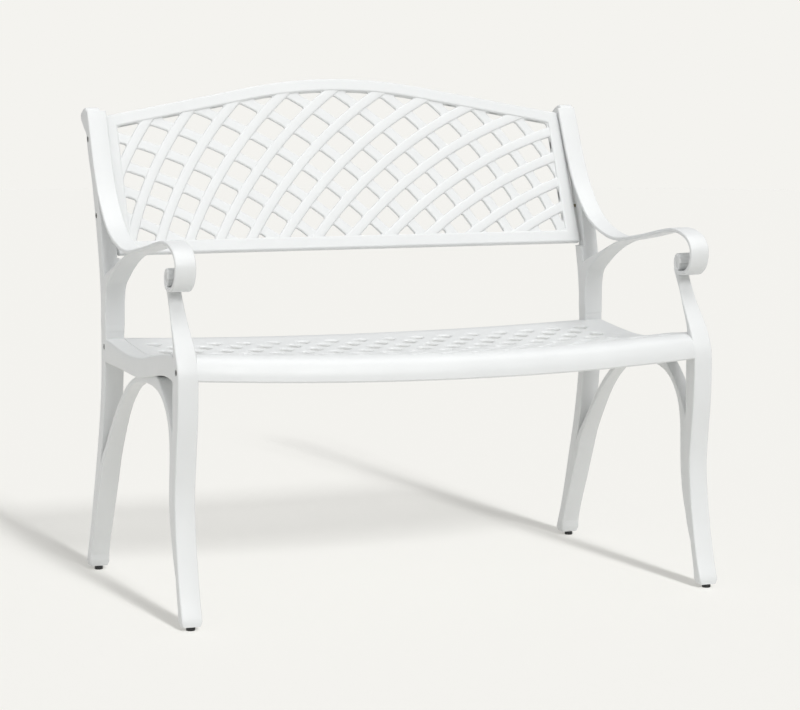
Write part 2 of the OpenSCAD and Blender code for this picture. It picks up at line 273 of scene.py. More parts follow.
def node_material(name):
    """An empty principled material, with what is needed to add to it."""
    mat = bpy.data.materials.new(name)
    mat.use_nodes = True
    nodes, links = mat.node_tree.nodes, mat.node_tree.links
    nodes.clear()
    out = nodes.new("ShaderNodeOutputMaterial")
    shader = nodes.new("ShaderNodeBsdfPrincipled")
    links.new(shader.outputs[0], out.inputs[0])
    return mat, nodes, links, shader


def noise(nodes, links, coords, scale, detail):
    tex = nodes.new("ShaderNodeTexNoise")
    tex.inputs["Scale"].default_value = scale
    tex.inputs["Detail"].default_value = detail
    links.new(coords.outputs["Object"], tex.inputs["Vector"])
    return tex


def ramp(nodes, links, source, stops):
    """Colours by place along a value: stops are (place, colour)."""
    node = nodes.new("ShaderNodeValToRGB")
    links.new(source, node.inputs[0])
    while len(node.color_ramp.elements) < len(stops):
        node.color_ramp.elements.new(0.5)
    for element, (place, colour) in zip(node.color_ramp.elements, stops):
        element.position = place
        element.color = (*colour, 1)
    return node


def grey(v):
    return (v, v, v)


DRIFT_SCALE, GLOSS_SCALE = 9, 35  # sizes of the colour drift and of the gloss patches
GRAIN_HEIGHT = 0.4 * MM


def surface(name, base, vary, rough, rough_vary, grain, bump, metallic=0.0, hollow_shade=None):
    """A finish with colour drift, uneven gloss, fine grain and, if given, painted shade in hollows.
    """
    mat, nodes, links, shader = node_material(name)
    coords = nodes.new("ShaderNodeTexCoord")
    drift = noise(nodes, links, coords, DRIFT_SCALE, 4)
    dark = tuple(c * (1 - vary) for c in base)
    light = tuple(min(1, c * (1 + vary)) for c in base)
    colour = ramp(nodes, links, drift.outputs["Fac"], [(0.3, dark), (0.7, light)])
    out_colour = colour.outputs[0]
    if hollow_shade:
        geometry = nodes.new("ShaderNodeNewGeometry")
        # Painted shade: where the pointiness is low, in hollows, the colour turns to the darker
        # one.
        edge = ramp(nodes, links, geometry.outputs["Pointiness"],
                    [(0.44, grey(1)), (0.5, grey(0))])
        mix = nodes.new("ShaderNodeMix")
        mix.data_type = "RGBA"
        links.new(edge.outputs[0], mix.inputs[0])
        links.new(out_colour, mix.inputs[6])
        mix.inputs[7].default_value = (*hollow_shade, 1)
        out_colour = mix.outputs[2]
    links.new(out_colour, shader.inputs["Base Color"])
    patch = noise(nodes, links, coords, GLOSS_SCALE, 3)
    gloss = ramp(nodes, links, patch.outputs["Fac"],
                 [(0.3, grey(rough - rough_vary)), (0.7, grey(rough + rough_vary))])
    links.new(gloss.outputs[0], shader.inputs["Roughness"])
    fine = noise(nodes, links, coords, grain, 2)
    height = nodes.new("ShaderNodeBump")
    height.inputs["Strength"].default_value = bump
    height.inputs["Distance"].default_value = GRAIN_HEIGHT
    links.new(fine.outputs["Fac"], height.inputs["Height"])
    links.new(height.outputs[0], shader.inputs["Normal"])
    shader.inputs["Metallic"].default_value = metallic
    return mat


MATERIAL = {
    # The enamel's second, darker colour is painted shade in its hollows.
    "enamel": surface("enamel_white", (0.66, 0.672, 0.672), 0.012, 0.42, 0.05, 900, 0.18,
                      hollow_shade=(0.6, 0.612, 0.612)),
    "zinc_yellow": surface("zinc_yellow", (0.14, 0.12, 0.05), 0.2, 0.5, 0.1, 1500, 0.2, 0.4),
    # Near-black painted shade for bolt sockets and recesses.
    "socket_shade": surface("socket_dark", (0.02, 0.02, 0.016), 0.3, 0.6, 0.1, 1500, 0.2),
    "zinc": surface("zinc_grey", (0.55, 0.56, 0.58), 0.08, 0.35, 0.08, 1500, 0.2, 0.9),
    "glide": surface("glide_black", (0.012, 0.012, 0.012), 0.2, 0.5, 0.08, 1200, 0.3),
}


def cast(name, part, *nodes, sharp=CORNER):
    """An enamelled piece that stands for CAD nodes."""
    piece = new_piece(name, *part, MATERIAL["enamel"], sharp=sharp)
    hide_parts(*nodes)
    return piece


# ---------------------------------------------------------------- side frames

POST_REAR = smooth([(14, 850), (13, 829), (1, 793), (-27, 738), (-61, 637), (-80, 560), (-87, 500),
                    (-88, 440), (-85, 357), (-66, 265), (-40, 180), (-14, 99), (1, 58), (12, 33),
                    (20, 14), (22, 5)])
POST_FRONT = smooth([(0, 850), (-25, 800), (-58, 730), (-82, 676), (-97, 610), (-110, 560),
                     (-117, 520), (-117, 490), (-118, 470), (-115, 462), (-114, 430), (-112, 390),
                     (-107, 340), (-94, 275), (-80, 225), (-59, 171), (-40, 118), (-25, 85),
                     (-13, 48), (-10, 13), (-9, 5)])
BRACKET_UNDER = smooth([(-117.5, 452), (-117.5, 475), (-117.5, 500), (-119, 527), (-128, 554),
                        (-152, 572), (-192, 595), (-236, 613), (-290, 627)])
BRACKET_OVER = smooth([(-88, 452), (-87.5, 475), (-88, 500), (-89, 527), (-94, 556), (-112, 574),
                       (-145, 585), (-195, 602), (-245, 619), (-290, 629)])
STRAP_FACE = smooth([(8, 876), (-1, 858), (-17, 822), (-37, 778), (-71, 721), (-124, 668),
                     (-184, 641), (-252, 630.5), (-346, 641), (-430, 655), (-486, 661),
                     (-530, 653), (-553, 637), (-560, 618), (-553, 594), (-535, 579),
                     (-512, 575), (-496, 581), (-490.5, 597), (-494, 610), (-504, 615.5),
                     (-514, 609), (-516, 598)], 8)
CAP_FRONT = smooth([(-20, 815), (-8, 842), (4, 866), (20, 880.5), (34, 879), (45, 873)])
CAP_REAR = smooth([(8, 815), (14, 829), (29, 839), (43, 849), (51, 856), (54, 863)])
ROLL_CENTRE = (-503.5, 597)
ROLL_HALF = (8, 13)
# The heart of the scroll: (depth from the outer face, share of its full size) of each ring
ROLL_RINGS = ((2.2, 0.72), (1.2, 0.92), (2.0, 1.0), (35.0, 1.0), (35.8, 0.92), (34.8, 0.72))
RAIL_TOP = smooth([(-110, 457), (-128, 455), (-150, 452.5), (-215, 446), (-280, 442), (-345, 445),
                   (-407, 454), (-468, 463), (-510, 467), (-545, 466)])
RAIL_UNDER = smooth([(-110, 411), (-127, 411), (-215, 409), (-300, 406), (-344, 408), (-407, 417),
                     (-455, 425), (-497, 427), (-533, 424), (-545, 420)])
LEG_FRONT = smooth([(-490, 590), (-499, 567), (-516, 533), (-535, 507), (-551, 485), (-564, 462),
                    (-573, 438), (-574, 400), (-571, 346), (-562, 285), (-556, 228), (-560, 172),
                    (-570, 115), (-584, 58), (-595, 26), (-602, 5)])
LEG_REAR = smooth([(-476, 590), (-484, 573), (-504, 545), (-519, 519), (-533, 496), (-543, 472),
                   (-541, 440), (-539, 400), (-539, 340), (-533, 290), (-532, 236), (-538, 190),
                   (-548, 135), (-562, 70), (-571, 34), (-575, 5)])
BRACE_UNDER = smooth([(-9, 25), (-21, 58), (-38, 95), (-57, 135), (-77, 178), (-102, 229),
                      (-149, 291), (-188, 333), (-230, 366), (-262, 383), (-305, 396),
                      (-350, 400.5), (-395, 400), (-430, 394), (-457, 383), (-480, 364),
                      (-499, 334), (-509, 300), (-513, 265), (-517, 225), (-526, 172),
                      (-538, 135), (-546, 110), (-560, 80)])
BRACE_OVER = smooth([(0, 25), (-10, 58), (-26, 95), (-44, 135), (-60, 178), (-80, 222),
                     (-108, 256), (-141, 297), (-181, 341), (-222, 373), (-255, 391), (-300, 406),
                     (-350, 414), (-400, 418), (-436, 416), (-487, 374), (-520, 331), (-538, 296),
                     (-546, 250), (-553, 165), (-572, 80)])
FOOT_Z = 16
FOOT_CHAMFER = (9, 2.6)
POST_RADIUS = 2.2
LEG_RADIUS = 2.6
BRACE_RADIUS = 2.5
STRAP_RADIUS = 2.6
CAP_RADIUS = 4
# How far a member's side faces stand out from its neighbour's, so that no two share a plane
STRAP_PROUD = 0.3
CAP_PROUD = 0.15
RAIL_SET_IN = 0.3
# The bracket comes out of the post between these heights, from sunk in it to standing out
BRACKET_RISE_Z = (456, 485)
BRACKET_RISE = (-0.5, 0.7)
NECK_W = 24
NECK_TOP = 568
NECK_BASE = 474
BRACE_W = 25
BRACE_ROOT_W = 36.4
BRACE_WIDE_Z = 215
BRACE_NARROW_Z = 350
POCKET = 8
POCKET_BASE = 603
BOLTS_BACK = [(2.5, 822), (-55, 681)]
BOLTS_SEAT_REAR = (-108, 440)
BOLTS_SEAT_FRONT = (-561, 441)
RECESS_D = 11.5
RECESS_DEPTH = 9.2
CUTTER_PROUD = 4
# Heights of the rings that the uprights are built on: close together through the bends, and on
# the post a pair either side of the foot of its pocket
POST_LEVELS = np.concatenate([
    np.linspace(845, 608, 40), [POCKET_BASE + 0.4, POCKET_BASE - 0.4],
    np.linspace(598, 480, 20), np.linspace(476, 456, 12), np.linspace(450, FOOT_Z, 66)])
LEG_LEVELS = np.concatenate([np.linspace(586, 470, 36), np.linspace(466, FOOT_Z, 60)])
# How many stations each curved member is built on
BRACKET_STATIONS = 56
RAIL_STATIONS = 60
BRACE_STATIONS = 120


def neck_inset(levels):
    """How far each face of the front leg is cut back, at each height."""
    step = (MEMBER_W / MM - NECK_W) / 2
    share = np.clip((levels - NECK_BASE) / (NECK_TOP - NECK_BASE), 0, 1)
    return step * share


def lathe_along_x(side, place, profile, steps=40):
    """A turned shape about a bolt's axis: profile holds (x, radius) in mm, x inwards."""
    verts = [in_frame((-x * MM, (place[0] + r * c) * MM, (place[1] + r * s) * MM), side)
             for x, r in profile for c, s in circle(steps)]
    return verts, tube(len(profile), steps)


def round_hole(piece, side, place):
    """Counterbore in a member's outer face."""
    r = RECESS_D / 2
    cutter = mesh_object("cutter", *lathe_along_x(side, place, [(-CUTTER_PROUD, r),
                                                                (RECESS_DEPTH, r)]))
    finish_mesh(cutter)
    cut = piece.modifiers.new("recess", "BOOLEAN")
    cut.operation = "DIFFERENCE"
    cut.object = cutter
    cut.solver = "EXACT"
    bpy.context.view_layer.objects.active = piece
    with bpy.context.temp_override(object=piece, active_object=piece, selected_objects=[piece]):
        bpy.ops.object.modifier_apply(modifier=cut.name)
    bpy.data.objects.remove(cutter)
    piece.data.set_sharp_from_angle(angle=math.radians(CORNER))


def side_frame(side):
    """The members of one side frame, with the bolt holes cut in them."""
    name = SIDE_NAMES[side]
    front, rear = level_pairs(POST_FRONT, POST_REAR, POST_LEVELS)
    width = np.where(POST_LEVELS > POCKET_BASE, MEMBER_W - POCKET * MM, MEMBER_W)
    post = bar(front, rear, width=width, radius=POST_RADIUS, foot=FOOT_CHAMFER)
    under = even(BRACKET_UNDER, BRACKET_STATIONS)
    over = even(BRACKET_OVER, BRACKET_STATIONS)
    rise = np.interp(over[:, 1], BRACKET_RISE_Z, BRACKET_RISE) * MM
    bracket = bar(under, over, outer=-rise, width=MEMBER_W + 2 * rise, radius=POST_RADIUS)
    piece = cast("back_post_" + name, placed(post, side), "back_post_" + name)
    for place in BOLTS_BACK + [BOLTS_SEAT_REAR]:
        round_hole(piece, side, place)
    cast("arm_bracket_" + name, placed(bracket, side), "back_post_" + name)

    strap = bar(STRAP_FACE, beside(STRAP_FACE, STRAP_T), outer=-STRAP_PROUD * MM,
                width=MEMBER_W + 2 * STRAP_PROUD * MM, radius=STRAP_RADIUS, round_ends=(0, 1))
    cap = bar(CAP_FRONT, CAP_REAR, outer=-CAP_PROUD * MM,
              width=MEMBER_W + (CAP_PROUD - POCKET) * MM, radius=CAP_RADIUS,
              round_ends=(0, CAP_RADIUS))
    cast("arm_strap_" + name, placed(joined(strap, roll_core()), side), "arm_strap_" + name)
    piece = cast("arm_cap_" + name, placed(cap, side), "arm_strap_" + name)
    round_hole(piece, side, BOLTS_BACK[0])

    front, rear = level_pairs(LEG_FRONT, LEG_REAR, LEG_LEVELS)
    inset = neck_inset(LEG_LEVELS) * MM
    leg = bar(front, rear, outer=inset, width=MEMBER_W - 2 * inset, radius=LEG_RADIUS,
              foot=FOOT_CHAMFER)
    piece = cast("front_leg_" + name, placed(leg, side), "front_leg_" + name)
    round_hole(piece, side, BOLTS_SEAT_FRONT)

    rail = bar(even(RAIL_TOP, RAIL_STATIONS), even(RAIL_UNDER, RAIL_STATIONS),
               outer=RAIL_SET_IN * MM, width=MEMBER_W - 2 * RAIL_SET_IN * MM)
    cast("seat_rail_" + name, placed(rail, side), "seat_rail_" + name)

    under, over = even(BRACE_UNDER, BRACE_STATIONS), even(BRACE_OVER, BRACE_STATIONS)
    width = np.interp((under[:, 1] + over[:, 1]) / 2, [BRACE_WIDE_Z, BRACE_NARROW_Z],
                      [BRACE_ROOT_W, BRACE_W]) * MM
    brace = bar(under, over, outer=(MEMBER_W - width) / 2, width=width, radius=BRACE_RADIUS)
    cast("leg_brace_" + name, placed(brace, side), "leg_brace_" + name)


def roll_core(steps=32):
    """The solid heart of the scroll, set in a little from the strap's edges."""
    verts = [np.array([-x, ROLL_CENTRE[0] + scale * ROLL_HALF[0] * c,
                       ROLL_CENTRE[1] + scale * ROLL_HALF[1] * s]) * MM
             for x, scale in ROLL_RINGS for c, s in circle(steps)]
    return verts, tube(len(ROLL_RINGS), steps)


# ---------------------------------------------------------------- back panel

GRID = 2.5  # mm between the points that a pierced plate is worked out on
BACK_TILT = math.radians(22.2)
PANEL_BASE = (-80, 634.2)
RIM_T = 15
RIM_W = 25
RIM_END_W = 28
PANEL_GAP = 2
BACK_H = 300
CROWN_R = 900
CROWN_SLOPE = math.radians(11)
RIM_EDGE = 3.6
RIM_TOP_Z = 880
RIM_HALF = (OUTER_X - MEMBER_W) / MM - RIM_TOP_Z * math.tan(LEAN) + POCKET - PANEL_GAP
OPEN_HALF = RIM_HALF - RIM_END_W
CROWN_CENTRE = BACK_H - CROWN_R
RIB_PITCH = 53.4
FRONT_RIB_W = 20
REAR_RIB_W = 19.5
FRONT_DEPTH = 1.5
REAR_DEPTH = 3.5
RIB_BACK_DEPTH = 10.5
FRONT_RIB_BACK = 9.5
FRONT_RIB_RADIUS = 3.2
# The rule of the ribs: the middle lane starts at RIB_X. From there each lane leans a step more
# or less than the last, and is bent to a smaller radius
MIDDLE_LANE = 7
RIB_X = -38.9
RIB_LEAN = 47.25
RIB_LEAN_STEP = 3.836
RIB_RADIUS = 1019
RIB_RADIUS_DROP = 6.23
LATTICE_OFFSET = -3
LANES = np.arange(-1.5, 12.6, 1.0)
RIB_BURIED = 11
PLATE_BURIED = 9
RIB_BLEND = 5
RIB_EDGE = 1.5


def on_panel(x, s, depth):
    """A point of the back: x across, s up the slope, depth behind the front face, in mm."""
    y = PANEL_BASE[0] + s * math.sin(BACK_TILT) + depth * math.cos(BACK_TILT)
    z = PANEL_BASE[1] + s * math.cos(BACK_TILT) - depth * math.sin(BACK_TILT)
    return Vector((x * MM, y * MM + GLIDE_BACK, z * MM))


def crown_height(x, grow=0.0):
    """Height of the top edge of the back opening, or of the rim's outside with grow."""
    r = CROWN_R + grow
    turn = r * math.sin(CROWN_SLOPE)
    x = np.abs(x)
    arc = CROWN_CENTRE + np.sqrt(r * r - np.minimum(x, turn) ** 2)
    return arc - np.maximum(x - turn, 0) * math.tan(CROWN_SLOPE)


def rim_loop(grow, grow_ends):
    """The outline of the back opening, or of the rim's outside with both grown."""
    half = OPEN_HALF + grow_ends
    xs = np.linspace(-half, half, 60)
    top = [(x, crown_height(x, grow)) for x in xs]
    return top + [(half, -grow), (-half, -grow)]


def back_rim():
    """The rim: two outlines at the front and the same two at the back, joined in a ring."""
    inner, outer = rim_loop(0, 0), rim_loop(RIM_W, RIM_END_W)
    n = len(inner)
    verts = [on_panel(x, s, d) for loop, d in
             ((outer, 0), (inner, 0), (inner, RIM_T), (outer, RIM_T)) for x, s in loop]
    faces = []
    for ring in range(4):
        a, b = ring * n, (ring + 1) % 4 * n
        for k in range(n):
            m = (k + 1) % n
            faces.append((a + k, a + m, b + m, b + k))
    piece = cast("back_rim", (verts, faces), "back_rim")
    bevel = piece.modifiers.new("edges", "BEVEL")
    bevel.width = RIM_EDGE * MM
    bevel.segments = 4
    bevel.limit_method = "ANGLE"
    bevel.angle_limit = math.radians(40)
    bevel.use_clamp_overlap = False


def rib_line(lane):
    """Centre and radius of one rib's arc, from the rule that all ribs follow."""
    x = RIB_X
    out = lane - MIDDLE_LANE
    steps = int(round(abs(out) * 2))
    sign = math.copysign(1, out)
    for i in range(steps):
        mid = sign * (i + 0.5) / 2
        x += sign * RIB_PITCH / 2 / math.sin(math.radians(RIB_LEAN - RIB_LEAN_STEP * mid))
    lean = math.radians(RIB_LEAN - RIB_LEAN_STEP * out)
    r = RIB_RADIUS - RIB_RADIUS_DROP * out ** 2
    return x + r * math.sin(lean), -r * math.cos(lean), r


def inside_panel(x, s, grow):
    """Whether each point is in the back opening, or in it with grow added all round."""
    return (np.abs(x) < OPEN_HALF + grow) & (s > -grow) & (s < crown_height(x, 0) + grow)


def front_ribs():
    """The ribs that rise to the right: one swept bar each, ends buried in the rim."""
    parts = []
    for lane in LANES:
        cx, cs, r = rib_line(lane)
        a = np.arange(0, math.pi, 5 / r)
        x, s = LATTICE_OFFSET + cx - r * np.sin(a), cs + r * np.cos(a)
        keep = inside_panel(x, s, RIB_BURIED) & (np.sin(a) > 0)
        x, s, a = x[keep], s[keep], a[keep]
        if len(x) < 4:
            continue
        mid = (FRONT_DEPTH + FRONT_RIB_BACK) / 2
        deep = FRONT_RIB_BACK - FRONT_DEPTH
        centres = [np.array(on_panel(px, ps, mid)) for px, ps in zip(x, s)]
        across = [np.array(on_panel(-math.sin(t), math.cos(t), 0) - on_panel(0, 0, 0)) / MM
                  for t in a]
        through = [np.array(on_panel(0, 0, 1) - on_panel(0, 0, 0)) / MM] * len(x)
        parts.append(loft(centres, across, through, [FRONT_RIB_W * MM] * len(x),
                          [deep * MM] * len(x), FRONT_RIB_RADIUS * MM))
    return joined(*parts)


def arc_distance(X, S, mirror):
    """Distance from every point to the nearest rib middle of one family."""
    shift = X - LATTICE_OFFSET
    if mirror:
        shift = -shift
    best = np.full(X.shape, 1e9)
    for lane in LANES:
        cx, cs, r = rib_line(lane)
        best = np.minimum(best, np.abs(np.hypot(shift - cx, S - cs) - r))
    return best


def blend_min(a, b, k):
    """The smaller of two distances, rounded off over k where they meet."""
    h = np.clip(0.5 + 0.5 * (b - a) / k, 0, 1)
    return b + (a - b) * h - k * h * (1 - h)


def perforated(field, us, vs, place, thickness, edge):
    """A plate over a grid: solid where field < 0, with rounded edges.

    place(u, v, depth) gives the point of the plate at a grid place and a depth."""
    nu, nv = field.shape
    inside = field < 0
    points, verts, faces = {}, [], []

    def corner(i, j):
        return add((i, j), us[i], vs[j], -field[i, j])

    def crossing(i0, j0, i1, j1):
        key = (min((i0, j0), (i1, j1)), max((i0, j0), (i1, j1)))
        f0, f1 = field[i0, j0], field[i1, j1]
        t = f0 / (f0 - f1)
        return add(key, us[i0] + t * (us[i1] - us[i0]), vs[j0] + t * (vs[j1] - vs[j0]), 0)

    def add(key, u, v, d):
        if key not in points:
            points[key] = len(verts)
            verts.append((u, v, d))
        return points[key]

    for i in range(nu - 1):
        for j in range(nv - 1):
            ring = ((i, j), (i + 1, j), (i + 1, j + 1), (i, j + 1))
            state = [inside[p] for p in ring]
            if not any(state):
                continue
            face = []
            for k in range(4):
                p, q = ring[k], ring[(k + 1) % 4]
                if state[k]:
                    face.append(corner(*p))
                if state[k] != state[(k + 1) % 4]:
                    face.append(crossing(*p, *q))
            if len(face) > 2:
                faces.append(face)
    flat = np.array(verts)
    near = np.clip(edge - flat[:, 2], 0, edge)
    drop = edge - np.sqrt(edge * edge - near * near)
    top = [place(u, v, h) for (u, v, _), h in zip(flat, drop)]
    under = [place(u, v, thickness - h) for (u, v, _), h in zip(flat, drop)]
    n = len(flat)
    used = {edge: True for face in faces for edge in zip(face, face[1:] + face[:1])}
    walls = [(b, a, a + n, b + n) for a, b in used if (b, a) not in used]
    return top + under, faces + [[i + n for i in face[::-1]] for face in faces] + walls


def back_lattice():
    """The pierced plate of both families, and over it the bars of the family in front."""
    xs = np.arange(-OPEN_HALF - 10, OPEN_HALF + 10 + GRID, GRID)
    ss = np.arange(-10, BACK_H + 12, GRID)
    X, S = np.meshgrid(xs, ss, indexing="ij")
    rising = arc_distance(X, S, False) - (FRONT_RIB_W / 2 - 0.4)
    falling = arc_distance(X, S, True) - REAR_RIB_W / 2
    web = blend_min(rising, falling, RIB_BLEND)
    outside = np.maximum(np.maximum(np.abs(X) - OPEN_HALF, -S), S - crown_height(X))
    field = np.maximum(blend_min(web, -outside, RIB_BLEND), outside - PLATE_BURIED)
    plate = perforated(field, xs, ss, lambda u, v, d: on_panel(u, v, REAR_DEPTH + d),
                       RIB_BACK_DEPTH - REAR_DEPTH, RIB_EDGE)
    cast("back_lattice_falling", plate, "back_lattice")
    cast("back_lattice_rising", front_ribs(), "back_lattice")


# ---------------------------------------------------------------- seat

SEAT_TOP_Z = 470
SEAT_GAP = 0.5
SEAT_HALF = (OUTER_X - MEMBER_W) / MM - SEAT_TOP_Z * math.tan(LEAN) - SEAT_GAP
BOW = 55
SAG = 9.5
REAR_FLANGE = [(-98, 436), (-96, 447), (-97, 452), (-103, 455)]
SCOOP = [(-128, 455), (-150, 452.5), (-215, 446), (-280, 441.5), (-345, 445), (-407, 454),
         (-468, 463), (-510, 467.5), (-536, 469)]
ROLL = [(-547, 468), (-558, 464), (-567, 455.5), (-573, 441), (-575, 425)]
SMOOTH_SEAT = 8  # points on each span of the profile
SEAT_PROFILE = smooth(REAR_FLANGE + SCOOP + ROLL, SMOOTH_SEAT)
SEAT_REAR = -97
SEAT_CREST = -536
SEAT_T = 7
SEAT_PITCH = 58.2
SEAT_RIB_ANGLE = math.radians(51)
SEAT_RIB_W = 19
SEAT_BURIED = 3
SEAT_EDGE = 2.6
SEAT_RIB_BLEND = 9
SEAT_BAND_BLEND = 7
SEAT_ROW_Y = -247
SIDE_BAND = 22
REAR_BAND_Y = -166
# The plain band behind the front roll: how far behind the crest its rear edge is at the ends,
# how far it draws forward at the middle, and the half-width over which it does
FRONT_BAND = (6, 16, 260)
LUG_GAP = 0.7
LUG_LENGTH = 24
# (how far short of the lug's end, radius)
LUG_STEPS = ((2, 9), (0.6, 8.4), (0, 7))


def seat_shape():
    """Functions of v, the distance along the seat profile from its rear flange."""
    run = run_along(SEAT_PROFILE)
    y, z = SEAT_PROFILE[:, 0], SEAT_PROFILE[:, 1]
    weight = np.clip((SEAT_REAR - y) / (SEAT_REAR - SEAT_CREST), 0, 1)
    crest = float(np.interp(-SEAT_CREST, -y[SMOOTH_SEAT:], run[SMOOTH_SEAT:]))
    return run, y, z, weight, crest


def seat_panel():
    """The dished seat with its rolled front, as one pierced shell, and the lugs under it."""
    run, ys, zs, weights, crest = seat_shape()
    reach = SEAT_HALF + SEAT_BURIED
    us = np.linspace(-reach, reach, int(2 * reach / GRID) + 1)
    vs = np.linspace(0, run[-1], int(run[-1] / GRID) + 1)

    def bowed(u):
        return 1 - (u / SEAT_HALF) ** 2

    def spot(u, v):
        w = np.interp(v, run, weights)
        return np.array([u, np.interp(v, run, ys) - w * BOW * bowed(u),
                         np.interp(v, run, zs) - SAG * bowed(u)])

    def place(u, v, depth):
        p = spot(u, v)
        du = spot(u + 0.5, v) - spot(u - 0.5, v)
        dv = spot(u, min(v + 1, run[-1])) - spot(u, max(v - 1, 0))
        normal = np.cross(dv, du)
        normal /= np.linalg.norm(normal)
        q = p - normal * depth
        return Vector((q[0] * MM, q[1] * MM + GLIDE_BACK, q[2] * MM))

    U, V = np.meshgrid(us, vs, indexing="ij")
    w = np.interp(V, run, weights)
    plan_y = np.interp(V, run, ys) - w * BOW * bowed(U)
    over = np.maximum(V - crest, 0)
    plan_y = np.where(V > crest, SEAT_CREST - BOW * bowed(U) - over, plan_y)
    spacing = SEAT_PITCH * math.sin(SEAT_RIB_ANGLE)
    web = None
    for turn in (1, -1):
        ahead = turn * (plan_y - SEAT_ROW_Y)
        t = U * math.sin(SEAT_RIB_ANGLE) + ahead * math.cos(SEAT_RIB_ANGLE)
        rib = np.abs(t - spacing * np.round(t / spacing)) - SEAT_RIB_W / 2
        web = rib if web is None else blend_min(web, rib, SEAT_RIB_BLEND)
    side_band = SEAT_HALF - SIDE_BAND - np.abs(U)
    rear_band = REAR_BAND_Y - plan_y
    behind, draw, half_width = FRONT_BAND
    front_band = crest - behind + draw * np.clip(1 - (U / half_width) ** 2, 0, 1) - V
    for band in (side_band, rear_band, front_band):
        web = blend_min(web, band, SEAT_BAND_BLEND)
    border = np.maximum(-V, V - run[-1])
    field = np.maximum(web, border) - 1e-6
    plate = perforated(field, us, vs, place, SEAT_T, SEAT_EDGE)
    cast("seat_panel", plate, "seat_rim", "seat_lattice", "seat_apron")
    lugs = [lug(side, at) for side in SIDE_NAMES for at in (BOLTS_SEAT_REAR, BOLTS_SEAT_FRONT)]
    cast("seat_lugs", joined(*lugs), "seat_rim", "seat_apron")


def lug(side, place):
    """The round boss of the seat that a bolt screws into."""
    start = MEMBER_W / MM + LUG_GAP
    end = start + LUG_LENGTH
    return lathe_along_x(side, place, [(start, LUG_STEPS[0][1])]
                         + [(end - short, r) for short, r in LUG_STEPS])


# ---------------------------------------------------------------- bolts and glides

HEAD_D = 10.6
HEAD_TOP = 0.8
HEAD_CHAMFER = 0.9
HEX_R = 4.5
SHANK_R = 3.0
BOLT_END = 46
BOLT_CHAMFER = 0.8
# The socket is only a shallow dish; its near-black colour is painted shade for a deep hole.
# The hexagon socket: a dark six-sided dish on the head's top, as (x from the top, radius)
SOCKET = ((-0.15, HEX_R + 0.25), (-0.1, HEX_R), (0.2, HEX_R * 0.6))


def bolt(side, place):
    """Head and shank as one turned shape, and the hexagon socket in the head as painted shade."""
    r = HEAD_D / 2
    body = [(HEAD_TOP, r * 0.8), (HEAD_TOP, r - HEAD_CHAMFER), (HEAD_TOP + HEAD_CHAMFER, r),
            (RECESS_DEPTH, r), (RECESS_DEPTH, SHANK_R), (BOLT_END, SHANK_R),
            (BOLT_END + BOLT_CHAMFER, SHANK_R - 0.7)]
    socket_shade = [(HEAD_TOP + x, radius) for x, radius in SOCKET]
    return lathe_along_x(side, place, body), lathe_along_x(side, place, socket_shade, 6)


def bolts(node, places, finish):
    """The bolts of one CAD node: metal as one piece, the sockets' painted shade as another."""
    heads, socket_shades = zip(*[bolt(side, place) for side in SIDE_NAMES for place in places])
    head = new_piece(node, *joined(*heads), MATERIAL[finish])
    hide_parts(node)
    dark = new_piece(node + "_sockets", *joined(*socket_shades), MATERIAL["socket_shade"])
    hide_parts(node)


def turned(centre, profile, steps=48):
    """A turned shape about an upright axis: profile holds (radius, z) in metres."""
    verts = [(centre[0] + r * c, centre[1] + r * s, z)
             for r, z in profile for c, s in circle(steps)]
    return verts, tube(len(profile), steps)


PAD_EDGE = 1.1 * MM
THREAD_PITCH = 1.0 * MM
THREAD_START = 2 * MM
THREAD_CORNER = 80
# One turn of the stud's thread, as (how deep, how far up) in pitches
THREAD = ((0, 0), (0.12, 0.12), (0.55, 0.5), (0.12, 0.88))


def glide(corner):
    """One glide: the black pad and the threaded stud that it turns on, sized from the CAD."""
    low, high = node_low("glide_pad_" + corner), node_high("glide_pad_" + corner)
    centre = (low + high) / 2
    r, top = (high[0] - low[0]) / 2, high[2]
    e = PAD_EDGE
    profile = [(r - 2 * e, 0), (r - e, 0.1 * e), (r - 0.3 * e, 0.4 * e), (r, e), (r, top - e),
               (r - 0.3 * e, top - 0.3 * e), (r - e, top), (0.5 * r, top)]
    pad = new_piece("glide_pad_" + corner, *turned(centre, profile), MATERIAL["glide"],
                    "glide_" + corner)
    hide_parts("glide_pad_" + corner)
    low, high = node_low("glide_stud_" + corner), node_high("glide_stud_" + corner)
    r, z = (high[0] - low[0]) / 2, low[2] + THREAD_START
    profile = [(r, low[2])]
    while z < high[2] - THREAD_PITCH:
        profile += [(r - deep * THREAD_PITCH, z + up * THREAD_PITCH) for deep, up in THREAD]
        z += THREAD_PITCH
    profile += [(r, z), (r - THREAD_PITCH, high[2])]
    stud = new_piece("glide_stud_" + corner, *turned(centre, profile, 32), MATERIAL["zinc"],
                     "glide_" + corner, sharp=THREAD_CORNER)
    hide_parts("glide_stud_" + corner)


# ---------------------------------------------------------------- stage, light and camera

def emitter(name, colour):
    """A material that only glows."""
    mat = bpy.data.materials.new(name)
    mat.use_nodes = True
    nodes, links = mat.node_tree.nodes, mat.node_tree.links
    nodes.clear()
    out = nodes.new("ShaderNodeOutputMaterial")
    glow = nodes.new("ShaderNodeEmission")
    glow.inputs[0].default_value = (*colour, 1)
    links.new(glow.outputs[0], out.inputs[0])
    return mat


STAGE_REACH = 16
WALL_RADIUS = 0.98 * STAGE_REACH
WALL_HEIGHTS = (-0.5, 12)
BACKDROP = (0.905, 0.896, 0.863)
FLOOR_ALBEDO = (0.65, 0.646, 0.63)
FLOOR_GLOW = (0.2465, 0.242, 0.225)
WORLD_LEVEL = 0.47
